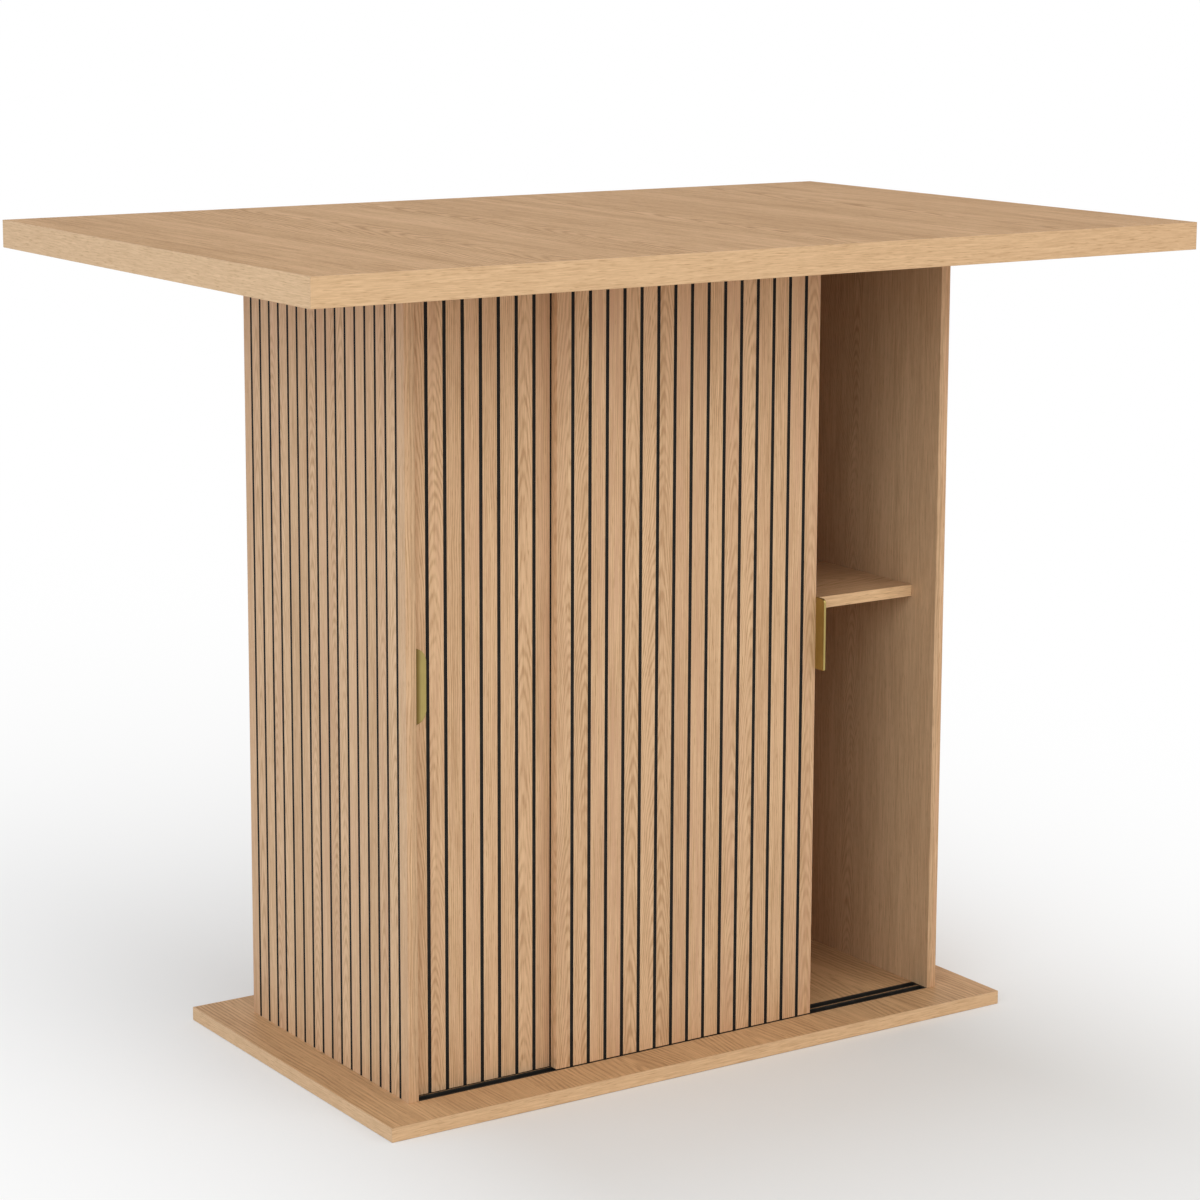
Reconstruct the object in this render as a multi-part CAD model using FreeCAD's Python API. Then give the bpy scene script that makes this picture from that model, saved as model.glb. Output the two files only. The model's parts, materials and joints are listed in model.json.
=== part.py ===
import FreeCAD, Part
import math
import os

# Kitchen island: an oak-look worktop on a slatted cabinet with two sliding doors and a base plate.
# Lengths are millimetres. The origin is on the floor under the middle of the island,
# +X runs to the right along the front, the doors face -Y and +Z is up.

# Worktop and base plate
island_height = 900.0
worktop_width = 1100.0
worktop_depth = 700.0
worktop_thickness = 30.0
base_side_reach = 50.0
base_front_reach = 52.5
base_thickness = 15.0
band_thickness = 1.0

# Cabinet panels
cabinet_width = 700.0
cabinet_depth = 345.0
panel_thickness = 12.0

# Grooves between the slats, and the black strips in them
groove_width = 4.0
groove_depth = 2.0
inlay_thickness = 1.6
side_groove_count = 16
side_groove_margin = 17.1
back_groove_count = 31
back_groove_margin = 17.1
door_groove_count = 15
door_groove_margin = 19.15

# Sliding doors
door_thickness = 11.0
door_setback = 0.5
door_lane_gap = 1.5
left_wall_gap = 1.8
right_wall_gap = 4.0
door_overlap = 5.8
door_floor_gap = 1.2
door_top_gap = 1.5
right_door_opened = 164.2

# Tracks that the doors run in
track_width = 12.8
track_wall = 2.5
track_setback = 0.2
track_rib = 1.0
bottom_track_depth = 8.0
top_track_depth = 12.0

# Gliders under the doors and guides on top of them
shoe_length = 40.0
shoe_inset = 30.0
shoe_tenon_thickness = 5.0
shoe_tenon_depth = 12.0
guide_reach = 4.0
running_gap = 0.3

# Handles
handle_height = 80.0
handle_middle_height = 452.0
handle_plate = 2.5
handle_reach = 15.0
handle_top_corner = 5.0
handle_low_corner = 1.0
flat_handle_plate = 0.8
flat_handle_leg = 1.4
flat_handle_corner = 15.0

# Handle screws, countersunk
handle_screw_spread = 50.0
handle_screw_head_radius = 2.8
handle_screw_head_height = 1.4
handle_screw_radius = 1.4
handle_screw_length = 16.0
handle_screw_cross = 3.2
handle_screw_cross_width = 0.7
handle_screw_cross_depth = 0.9

# Shelves and their supports
shelf_setback = 41.5
shelf_top = 481.0
shelf_thickness = 13.0
shelf_gap = 0.5
support_inset = 40.0
support_pin_radius = 2.5
support_pin_depth = 5.0
support_lug_length = 9.0
support_lug_width = 7.0
support_lug_height = 6.0

# Screws up through the base plate
base_screw_radius = 2.5
base_screw_length = 50.0
base_screw_head_radius = 4.0
base_screw_head_height = 4.0
base_screw_recess = 0.5
base_screw_socket_radius = 2.3
base_screw_socket_depth = 2.5
base_screw_socket_sides = 6
side_screw_spread = 220.0
divider_screw_spread = 180.0
back_screw_spread = 340.0

# Dowels
dowel_radius = 3.0
worktop_dowel_length = 30.0
worktop_dowel_spread = 260.0
panel_dowel_length = 24.0
panel_dowel_seat = 7.0
panel_dowel_height_shares = (0.15, 0.5, 0.85)

# Angle brackets under the worktop
bracket_leg = 25.0
bracket_width = 30.0
bracket_plate = 2.0
bracket_inset = 60.0
bracket_stagger = 70.0
bracket_screw_radius = 1.75
bracket_screw_length = 9.0
bracket_screw_head_radius = 3.4
bracket_screw_head_height = 2.0
bracket_screw_cross = 4.0
bracket_screw_cross_width = 0.8
bracket_screw_cross_depth = 1.2

# Felt bumpers on the side panels
bumper_radius = 4.0
bumper_gap = 0.5
bumper_drop = 15.0

# Clearance of holes round what they hold, and how far cuts run past a face
fit_gap = 0.1
overrun = 20.0

# Places worked out from the sizes above
base_width = cabinet_width + 2 * base_side_reach
base_depth = cabinet_depth + 2 * base_front_reach
cabinet_left = -cabinet_width / 2
cabinet_right = cabinet_width / 2
cabinet_front = -cabinet_depth / 2
cabinet_back = cabinet_depth / 2
cabinet_bottom = base_thickness
cabinet_top = island_height - worktop_thickness
inner_left = cabinet_left + panel_thickness
inner_right = cabinet_right - panel_thickness
inner_back = cabinet_back - panel_thickness
inner_front = cabinet_front + shelf_setback
divider_left = -panel_thickness / 2
divider_right = panel_thickness / 2
shelf_bottom = shelf_top - shelf_thickness

door_width = (inner_right - inner_left - left_wall_gap - right_wall_gap + door_overlap) / 2
door_low = cabinet_bottom + door_floor_gap
door_high = cabinet_top - door_top_gap
front_lane = cabinet_front + door_setback
rear_lane = front_lane + door_thickness + door_lane_gap
front_track_middle = cabinet_front + track_setback + track_width / 2
rear_track_middle = front_track_middle + track_width + track_rib
left_door_left = inner_left + left_wall_gap
right_door_left = inner_right - right_wall_gap - door_width - right_door_opened
handle_low = handle_middle_height - handle_height / 2
handle_high = handle_middle_height + handle_height / 2

X_AXIS = FreeCAD.Vector(1, 0, 0)
Y_AXIS = FreeCAD.Vector(0, 1, 0)
Z_AXIS = FreeCAD.Vector(0, 0, 1)

nodes = {}
holes = {}


def block(across, along, up):
    """A box from its X, Y and Z ranges."""
    low = FreeCAD.Vector(min(across), min(along), min(up))
    high = FreeCAD.Vector(max(across), max(along), max(up))
    size = high - low
    return Part.makeBox(size.x, size.y, size.z, low)


def rod(start, direction, radius, length):
    """A round bar from a start point along a direction."""
    return Part.makeCylinder(radius, length, start, direction)


def around(middle, size):
    """The range of a size centred on a middle."""
    return (middle - size / 2, middle + size / 2)


def joined(first, second):
    """Two touching solids as one, without the seam between them."""
    return first.fuse(second).removeSplitter()


def add(name, solids):
    """Keep a node: one solid, or a list of like solids."""
    nodes[name] = Part.makeCompound(solids) if isinstance(solids, list) else solids


def drill(name, cutter):
    """Ask for a cut in a node, made when the node is written."""
    holes.setdefault(name, []).append(cutter)


def rounded(solid, radius, chosen):
    """Round the edges of a solid whose bounding box passes a test."""
    edges = [edge for edge in solid.Edges if chosen(edge.BoundBox)]
    return solid.makeFillet(radius, edges)


def screw(seat, direction, head_radius, head_height, radius, length):
    """A screw with a flat head: the head stands on the seat and the shank runs on along the direction."""
    return joined(rod(seat, direction, radius, length), rod(seat, -direction, head_radius, head_height))


def placed(shape, top, inward):
    """A shape made round the Z axis, set at a screw's top with its +Z running into the screw."""
    shape.Placement = FreeCAD.Placement(top, FreeCAD.Rotation(Z_AXIS, inward))
    return shape


def cross_recess(top, inward, size, width, depth):
    """The cross-shaped recess in a screw's head."""
    heights = (-overrun, depth)
    first = block(around(0, size), around(0, width), heights)
    second = block(around(0, width), around(0, size), heights)
    return placed(joined(first, second), top, inward)


def socket_recess(top, inward, radius, sides, depth):
    """The many-sided socket in a screw's head."""
    turns = [2 * math.pi * index / sides for index in range(sides + 1)]
    corners = [FreeCAD.Vector(radius * math.cos(turn), radius * math.sin(turn), -overrun) for turn in turns]
    outline = Part.Face(Part.makePolygon(corners))
    return placed(outline.extrude(Z_AXIS * (overrun + depth)), top, inward)


def groove_middles(low, high, margin, count):
    """Even places for grooves between two margins."""
    pitch = (high - low - 2 * margin) / (count - 1)
    return [low + margin + pitch * index for index in range(count)]


def groove_strip(normal, face, inward, depths, middle, heights):
    """A box in one groove of an upright panel, between two depths under the panel's outer face."""
    through = [face + inward * depth for depth in depths]
    across = around(middle, groove_width)
    if normal == X_AXIS:
        return block(through, across, heights)
    return block(across, through, heights)


def add_grooves(name, normal, face, inward, middles, heights):
    """Rout the grooves of a slatted panel and lay a black strip in each."""
    cut_heights = (heights[0] - overrun, heights[1] + overrun)
    inlay_depths = (groove_depth - inlay_thickness, groove_depth)
    inlays = []
    for middle in middles:
        drill(name, groove_strip(normal, face, inward, (-overrun, groove_depth), middle, cut_heights))
        inlays.append(groove_strip(normal, face, inward, inlay_depths, middle, heights))
    add(name + "_inlays", inlays)


def add_banded_board(name, width, depth, low, high):
    """A flat board with edge bands on its long and short sides."""
    core_x = (-width / 2 + band_thickness, width / 2 - band_thickness)
    core_y = (-depth / 2 + band_thickness, depth / 2 - band_thickness)
    add(name, block(core_x, core_y, (low, high)))
    long_bands = []
    short_bands = []
    for side in (-1, 1):
        edge_y = side * depth / 2
        edge_x = side * width / 2
        band_y = (edge_y, edge_y - side * band_thickness)
        band_x = (edge_x, edge_x - side * band_thickness)
        long_bands.append(block((-width / 2, width / 2), band_y, (low, high)))
        short_bands.append(block(band_x, core_y, (low, high)))
    add(name + "_long_bands", long_bands)
    add(name + "_short_bands", short_bands)


def add_side_panels():
    """Two side panels, slatted on the outside."""
    heights = (cabinet_bottom, cabinet_top)
    middles = groove_middles(cabinet_front, cabinet_back, side_groove_margin, side_groove_count)
    sides = (("left_side_panel", cabinet_left, 1), ("right_side_panel", cabinet_right, -1))
    for name, outer, inward in sides:
        across = (outer, outer + inward * panel_thickness)
        add(name, block(across, (cabinet_front, cabinet_back), heights))
        add_grooves(name, X_AXIS, outer, inward, middles, heights)


def add_back_panel():
    """The back panel between the sides, slatted on the outside."""
    heights = (cabinet_bottom, cabinet_top)
    add("back_panel", block((inner_left, inner_right), (inner_back, cabinet_back), heights))
    middles = groove_middles(inner_left, inner_right, back_groove_margin, back_groove_count)
    add_grooves("back_panel", Y_AXIS, cabinet_back, -1, middles, heights)


def add_interior():
    """The divider, the two shelves and the bands on their front edges."""
    board_y = (inner_front + band_thickness, inner_back)
    shelf_y = (inner_front + band_thickness, inner_back - shelf_gap)
    band_y = (inner_front, inner_front + band_thickness)
    divider_x = (divider_left, divider_right)
    divider_z = (cabinet_bottom, cabinet_top)
    shelf_z = (shelf_bottom, shelf_top)
    left_x = (inner_left + shelf_gap, divider_left - shelf_gap)
    right_x = (divider_right + shelf_gap, inner_right - shelf_gap)
    add("divider", block(divider_x, board_y, divider_z))
    add("left_shelf", block(left_x, shelf_y, shelf_z))
    add("right_shelf", block(right_x, shelf_y, shelf_z))
    bands = [block(divider_x, band_y, divider_z)]
    for across in (left_x, right_x):
        bands.append(block(across, band_y, shelf_z))
    add("interior_front_bands", bands)


def add_shelf_supports():
    """A pin in the panel and a lug under the shelf, at each corner of both shelves."""
    walls = (
        ("left_side_panel", inner_left, 1),
        ("divider", divider_left, -1),
        ("divider", divider_right, 1),
        ("right_side_panel", inner_right, -1),
    )
    middle_z = shelf_bottom - support_lug_height / 2
    supports = []
    for panel, wall, outward in walls:
        for y in (inner_front + support_inset, inner_back - support_inset):
            start = FreeCAD.Vector(wall, y, middle_z)
            into_panel = X_AXIS * -outward
            pin = rod(start, into_panel, support_pin_radius, support_pin_depth)
            lug_x = (wall, wall + outward * support_lug_length)
            lug = block(lug_x, around(y, support_lug_width), around(middle_z, support_lug_height))
            supports.append(joined(pin, lug))
            drill(panel, rod(start, into_panel, support_pin_radius + fit_gap, support_pin_depth + fit_gap))
    add("shelf_supports", supports)


def add_track(name, board, middle, mouth, depth, inward):
    """A black channel with closed ends let into a board, open towards the doors."""
    along = around(middle, track_width)
    slot_along = around(middle, track_width - 2 * track_wall)
    outer = block((inner_left, inner_right), along, (mouth, mouth + inward * depth))
    slot_x = (inner_left + track_wall, inner_right - track_wall)
    slot = block(slot_x, slot_along, (mouth - inward * overrun, mouth + inward * (depth - track_wall)))
    add(name, outer.cut(slot))
    drill(board, outer)


def add_tracks():
    """Bottom tracks in the base plate and top tracks in the worktop."""
    for place, middle in (("front", front_track_middle), ("rear", rear_track_middle)):
        add_track("bottom_" + place + "_track", "base_plate", middle, cabinet_bottom, bottom_track_depth, -1)
        add_track("top_" + place + "_track", "worktop", middle, cabinet_top, top_track_depth, 1)


def add_shoes(name, door, left, middle, track_middle, seat, tip, inward):
    """Two shoes on a door's bottom or top edge: a tongue in the track and a tenon in the door."""
    tongue_thickness = track_width - 2 * track_wall - 2 * running_gap
    tenon_end = seat + inward * shoe_tenon_depth
    shoes = []
    for x in (left + shoe_inset, left + door_width - shoe_inset - shoe_length):
        across = (x, x + shoe_length)
        tongue = block(across, around(track_middle, tongue_thickness), (seat, tip))
        tenon = block(across, around(middle, shoe_tenon_thickness), (seat, tenon_end))
        shoes.append(joined(tongue, tenon))
        mortise_x = (x - fit_gap, x + shoe_length + fit_gap)
        mortise_y = around(middle, shoe_tenon_thickness + 2 * fit_gap)
        drill(door, block(mortise_x, mortise_y, (seat - inward * overrun, tenon_end + inward * fit_gap)))
    add(name, shoes)


def add_door(name, left, lane, track_middle):
    """A slatted door with its bottom gliders and top guides."""
    heights = (door_low, door_high)
    add(name, block((left, left + door_width), (lane, lane + door_thickness), heights))
    middles = groove_middles(left, left + door_width, door_groove_margin, door_groove_count)
    add_grooves(name, Y_AXIS, lane, 1, middles, heights)
    glider_tip = cabinet_bottom - bottom_track_depth + track_wall + running_gap
    middle = lane + door_thickness / 2
    add_shoes(name + "_gliders", name, left, middle, track_middle, door_low, glider_tip, 1)
    add_shoes(name + "_guides", name, left, middle, track_middle, door_high, cabinet_top + guide_reach, -1)


def add_handle_screws(handle, door, face, lane, inward):
    """Two countersunk screws through a handle plate into the door's edge."""
    direction = X_AXIS * inward
    screws = []
    for z in around(handle_middle_height, handle_screw_spread):
        start = FreeCAD.Vector(face, lane + door_thickness / 2, z)
        head = Part.makeCone(
            handle_screw_head_radius, handle_screw_radius, handle_screw_head_height, start, direction)
        body = joined(head, rod(start, direction, handle_screw_radius, handle_screw_length))
        cross = cross_recess(
            start, direction, handle_screw_cross, handle_screw_cross_width, handle_screw_cross_depth)
        screws.append(body.cut(cross))
        sink = Part.makeCone(
            handle_screw_head_radius + fit_gap, handle_screw_radius + fit_gap,
            handle_screw_head_height, start, direction)
        bore = rod(start, direction, handle_screw_radius + fit_gap, handle_screw_length + fit_gap)
        for piece in (handle, door):
            drill(piece, sink)
            drill(piece, bore)
    add(handle + "_screws", screws)


def add_right_handle():
    """A plate on the right door's edge that stands out in front of the door."""
    edge = right_door_left + door_width
    outer = edge + handle_plate
    tip = front_lane - handle_reach
    plate = block((edge, outer), (tip, front_lane + door_thickness), (handle_low, handle_high))
    plate = rounded(plate, handle_top_corner, lambda box: box.YMax < front_lane and box.ZMin == handle_high)
    plate = rounded(plate, handle_low_corner, lambda box: box.YMax < front_lane and box.ZMax == handle_low)
    add("right_handle", plate)
    add_handle_screws("right_handle", "right_door", outer, front_lane, -1)


def add_left_handle():
    """A flat plate on the left door's first slat, with a leg round the door's edge."""
    outer = left_door_left - flat_handle_leg
    grip_right = left_door_left + door_groove_margin - groove_width / 2
    heights = (handle_low, handle_high)
    plate = block((outer, grip_right), (rear_lane - flat_handle_plate, rear_lane), heights)
    plate = rounded(plate, flat_handle_corner, lambda box: box.YLength > 0 and box.XMin > left_door_left)
    leg = block((outer, left_door_left), (rear_lane, rear_lane + door_thickness), heights)
    add("left_handle", joined(plate, leg))
    add_handle_screws("left_handle", "left_door", outer, rear_lane, 1)


def add_base_screws():
    """Screws up through the base plate into the sides, the divider and the back panel."""
    side_middle = panel_thickness / 2
    inner_middle = (inner_front + inner_back) / 2
    places = []
    for y in around(0, side_screw_spread):
        places.append(("left_side_panel", cabinet_left + side_middle, y))
        places.append(("right_side_panel", cabinet_right - side_middle, y))
    for y in around(inner_middle, divider_screw_spread):
        places.append(("divider", 0, y))
    for x in around(0, back_screw_spread):
        places.append(("back_panel", x, cabinet_back - side_middle))
    screws = []
    for panel, x, y in places:
        seat = FreeCAD.Vector(x, y, base_screw_recess + base_screw_head_height)
        body = screw(
            seat, Z_AXIS, base_screw_head_radius, base_screw_head_height,
            base_screw_radius, base_screw_length)
        top = seat - Z_AXIS * base_screw_head_height
        screws.append(body.cut(socket_recess(
            top, Z_AXIS, base_screw_socket_radius, base_screw_socket_sides, base_screw_socket_depth)))
        bore = rod(seat, Z_AXIS, base_screw_radius + fit_gap, base_screw_length + fit_gap)
        drill("base_plate", bore)
        drill("base_plate", rod(seat, -Z_AXIS, base_screw_head_radius + fit_gap, overrun))
        drill(panel, bore)
    add("base_screws", screws)


def add_dowel(dowels, start, direction, length, pieces):
    """A dowel and the holes that it sits in."""
    dowels.append(rod(start, direction, dowel_radius, length))
    bore = rod(start - direction * fit_gap, direction, dowel_radius + fit_gap, length + 2 * fit_gap)
    for piece in pieces:
        drill(piece, bore)


def add_dowels():
    """Dowels from the sides up into the worktop, and between the back panel, the sides and the divider."""
    side_middle = panel_thickness / 2
    worktop_dowels = []
    sides = (
        ("left_side_panel", cabinet_left + side_middle),
        ("right_side_panel", cabinet_right - side_middle),
    )
    for panel, x in sides:
        for y in around(0, worktop_dowel_spread):
            start = FreeCAD.Vector(x, y, cabinet_top - worktop_dowel_length / 2)
            add_dowel(worktop_dowels, start, Z_AXIS, worktop_dowel_length, (panel, "worktop"))
    add("worktop_dowels", worktop_dowels)
    back_middle = cabinet_back - side_middle
    panel_dowels = []
    for share in panel_dowel_height_shares:
        z = cabinet_bottom + share * (cabinet_top - cabinet_bottom)
        left_start = FreeCAD.Vector(inner_left - panel_dowel_seat, back_middle, z)
        right_start = FreeCAD.Vector(inner_right + panel_dowel_seat, back_middle, z)
        divider_start = FreeCAD.Vector(0, inner_back + panel_dowel_seat, z)
        add_dowel(panel_dowels, left_start, X_AXIS, panel_dowel_length, ("left_side_panel", "back_panel"))
        add_dowel(
            panel_dowels, right_start, -X_AXIS, panel_dowel_length, ("right_side_panel", "back_panel"))
        add_dowel(panel_dowels, divider_start, -Y_AXIS, panel_dowel_length, ("divider", "back_panel"))
    add("panel_dowels", panel_dowels)


def add_brackets():
    """Angle brackets that hold the worktop to the panels, each with a screw in both legs."""
    rear = inner_back - bracket_inset
    front = rear - bracket_stagger
    places = (
        ("left_side_panel", inner_left, 1, rear),
        ("divider", divider_left, -1, rear),
        ("divider", divider_right, 1, front),
        ("right_side_panel", inner_right, -1, rear),
    )
    brackets = []
    screws = []
    for panel, wall, outward, y in places:
        width = around(y, bracket_width)
        thin_x = (wall, wall + outward * bracket_plate)
        wide_x = (wall, wall + outward * bracket_leg)
        upright = block(thin_x, width, (cabinet_top - bracket_leg, cabinet_top))
        flat = block(wide_x, width, (cabinet_top - bracket_plate, cabinet_top))
        panel_seat = FreeCAD.Vector(thin_x[1], y, cabinet_top - bracket_leg / 2)
        worktop_seat = FreeCAD.Vector(wall + outward * bracket_leg / 2, y, cabinet_top - bracket_plate)
        bracket = joined(upright, flat)
        seats = ((panel, panel_seat, X_AXIS * -outward), ("worktop", worktop_seat, Z_AXIS))
        for piece, seat, direction in seats:
            body = screw(
                seat, direction, bracket_screw_head_radius, bracket_screw_head_height,
                bracket_screw_radius, bracket_screw_length)
            top = seat - direction * bracket_screw_head_height
            screws.append(body.cut(cross_recess(
                top, direction, bracket_screw_cross, bracket_screw_cross_width, bracket_screw_cross_depth)))
            bore = rod(seat, direction, bracket_screw_radius + fit_gap, bracket_screw_length + fit_gap)
            bracket = bracket.cut(bore)
            drill(piece, bore)
        brackets.append(bracket)
    add("worktop_brackets", brackets)
    add("bracket_screws", screws)


def add_bumpers():
    """Felt bumpers on the side panels, one for each door at each end of its run."""
    bumpers = []
    for lane in (front_lane, rear_lane):
        for wall, inward, gap in ((inner_left, 1, left_wall_gap), (inner_right, -1, right_wall_gap)):
            start = FreeCAD.Vector(wall, lane + door_thickness / 2, door_high - bumper_drop)
            bumpers.append(rod(start, X_AXIS * inward, bumper_radius, gap - bumper_gap))
    add("door_bumpers", bumpers)


def write_nodes():
    """Cut each node's holes and write one STEP file per node."""
    os.makedirs("parts", exist_ok=True)
    for name, shape in nodes.items():
        if name in holes:
            shape = shape.cut(holes[name])
        if len(shape.Solids) == 1:
            shape = shape.Solids[0]
        shape.exportStep("parts/" + name + ".step")
        print(name, len(shape.Solids), shape.isValid(), round(shape.Volume))


add_banded_board("worktop", worktop_width, worktop_depth, cabinet_top, island_height)
add_banded_board("base_plate", base_width, base_depth, 0, base_thickness)
add_side_panels()
add_back_panel()
add_interior()
add_shelf_supports()
add_tracks()
add_door("left_door", left_door_left, rear_lane, rear_track_middle)
add_door("right_door", right_door_left, front_lane, front_track_middle)
add_left_handle()
add_right_handle()
add_base_screws()
add_dowels()
add_brackets()
add_bumpers()
write_nodes()
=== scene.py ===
"""Finishes and photo stage of a kitchen island with slatted sliding doors."""

import json
from math import pi, radians
from typing import NamedTuple

import bpy
from bpy.props import FloatProperty, FloatVectorProperty, IntProperty, PointerProperty
from mathutils import Matrix, Vector

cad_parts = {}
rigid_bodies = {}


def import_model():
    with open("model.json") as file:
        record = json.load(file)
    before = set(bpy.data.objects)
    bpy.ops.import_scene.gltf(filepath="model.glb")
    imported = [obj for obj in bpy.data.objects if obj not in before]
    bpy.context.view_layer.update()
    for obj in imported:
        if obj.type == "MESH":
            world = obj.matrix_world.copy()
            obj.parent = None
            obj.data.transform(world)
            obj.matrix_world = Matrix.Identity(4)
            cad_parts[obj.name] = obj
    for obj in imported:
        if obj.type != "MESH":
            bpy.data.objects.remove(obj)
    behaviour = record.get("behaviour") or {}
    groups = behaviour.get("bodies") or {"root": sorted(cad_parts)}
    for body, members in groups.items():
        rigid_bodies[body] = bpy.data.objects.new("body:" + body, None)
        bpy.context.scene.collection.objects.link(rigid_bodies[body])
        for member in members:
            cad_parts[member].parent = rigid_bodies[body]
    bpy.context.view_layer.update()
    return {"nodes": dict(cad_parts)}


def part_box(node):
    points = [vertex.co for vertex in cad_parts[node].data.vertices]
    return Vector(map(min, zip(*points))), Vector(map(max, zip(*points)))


bl_info = {
    "name": "Slatted kitchen island",
    "version": (1, 0, 0),
    "blender": (4, 5, 0),
    "location": "View3D > Sidebar > Island",
    "description": "Gives a kitchen island its oak, black and brass finishes and sets up its photo stage",
    "category": "Object",
}

for leftover in list(bpy.data.objects):
    bpy.data.objects.remove(leftover)
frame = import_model()

AXIS_NUMBER = {"X": 0, "Y": 1, "Z": 2}
UNIT = (0.0, 1.0)
BEVEL_SAMPLES = 4


def colour_property(name, description, default):
    return FloatVectorProperty(
        name=name, description=description, default=default, size=3, min=0.0, max=1.0, subtype="COLOR")


def length_property(name, description, default):
    return FloatProperty(
        name=name, description=description, default=default, min=0.00001, subtype="DISTANCE", unit="LENGTH")


def angle_property(name, description, default):
    return FloatProperty(
        name=name, description=description, default=radians(default), subtype="ANGLE", unit="ROTATION")


def power_property(name, description, default):
    return FloatProperty(
        name=name, description=description, default=default, min=0.0, subtype="POWER", unit="POWER")


def count_property(name, description, default):
    return IntProperty(name=name, description=description, default=default, min=2)


class IslandColours(bpy.types.PropertyGroup):
    """Colours of the island's finishes."""
    slat_light: colour_property("Slat light", "Pale wood of the slats", (0.790, 0.508, 0.288))
    slat_dark: colour_property("Slat dark", "Darker grain of the slats", (0.485, 0.274, 0.132))
    slat_rose: colour_property("Slat rose", "Warmer tone of some slats", (0.630, 0.362, 0.212))
    board_light: colour_property("Board light", "Pale wood of worktop and base", (0.712, 0.432, 0.223))
    board_dark: colour_property("Board dark", "Darker grain of worktop and base", (0.430, 0.244, 0.117))
    edge_light: colour_property("Edge light", "Pale wood of the edge bands", (0.832, 0.542, 0.306))
    edge_dark: colour_property("Edge dark", "Darker grain of the edge bands", (0.520, 0.305, 0.150))
    inside_light: colour_property("Inside light", "Pale wood inside the cabinet", (0.690, 0.434, 0.245))
    inside_dark: colour_property("Inside dark", "Darker grain inside the cabinet", (0.470, 0.278, 0.144))
    shelf_edge: colour_property("Shelf edge", "Pale wood of the inner front edges", (0.905, 0.590, 0.325))
    black: colour_property("Black", "Strips and tracks", (0.014, 0.0125, 0.0105))
    brass: colour_property("Brass", "Handles and their screws", (0.475, 0.366, 0.130))
    # Painted shade: the colour that darkens the left handle's side next to the side panel, in place of that
    # panel's shadow
    brass_painted_shade: colour_property("Brass shade", "Dark side of the left handle", (0.140, 0.078, 0.020))
    zinc: colour_property("Zinc", "Screws, brackets and shelf supports", (0.600, 0.600, 0.580))
    beech: colour_property("Beech", "Dowels", (0.620, 0.420, 0.250))
    felt: colour_property("Felt", "Door bumpers", (0.100, 0.065, 0.040))


class IslandSlats(bpy.types.PropertyGroup):
    """How the grooves divide the slatted panels."""
    side_grooves: count_property("Side grooves", "Grooves of a side panel", 16)
    back_grooves: count_property("Back grooves", "Grooves of the back panel", 31)
    door_grooves: count_property("Door grooves", "Grooves of a door", 15)
    groove_width: length_property("Groove width", "Width of one black line", 0.0040)


class IslandStage(bpy.types.PropertyGroup):
    """Camera, light and floor."""
    lens: FloatProperty(
        name="Lens", description="Focal length", default=96.868, min=1.0, unit="CAMERA")
    place: FloatVectorProperty(
        name="Place", description="Where the camera stands", default=(-1.9463, -2.9360, 1.2053),
        size=3, subtype="TRANSLATION", unit="LENGTH")
    turn: angle_property("Turn", "Turn of the camera to the right of straight ahead", 33.525)
    tilt: angle_property("Tilt", "How far the camera looks down", 9.647)
    roll: angle_property("Roll", "Roll of the camera", 0.202)
    shift: FloatProperty(name="Shift", description="Upright shift of the picture", default=-0.095)
    sky: FloatProperty(name="Sky", description="Strength of the even light", default=0.62, min=0.0)
    key_power: power_property("Key", "Power of the large lamp at the front right", 46.0)
    fill_power: power_property("Fill", "Power of the large lamp at the front left", 94.0)
    side_power: power_property("Side", "Power of the cool lamp at the back left", 22.0)
    floor_width: length_property("Floor width", "Width of the floor", 40.0)
    floor_colour: colour_property("Floor colour", "Colour of the floor", (0.880, 0.865, 0.845))
    shade_length: length_property("Shade length", "How slowly the floor fades to white", 0.75)
    shade_inset: length_property("Shade inset", "How far inside the base's ends the fade starts", 0.14)
    shade_front: length_property("Shade front", "How far the shaded floor is moved to the front", 0.15)
    shade_narrow: FloatProperty(
        name="Shade narrow", description="How much sooner the floor fades at the sides",
        default=2.2, min=0.1)


class Pattern(NamedTuple):
    """Noise: its scale per metre across and along a piece, its detail and its roughness."""
    across: float
    along: float
    detail: float = 2.0
    roughness: float = 0.5


class Relief(NamedTuple):
    """Depth and strength of a surface's marks and the rounding of its edges. Lengths are in metres."""
    depth: float
    strength: float
    edge: float = 0.0


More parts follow.
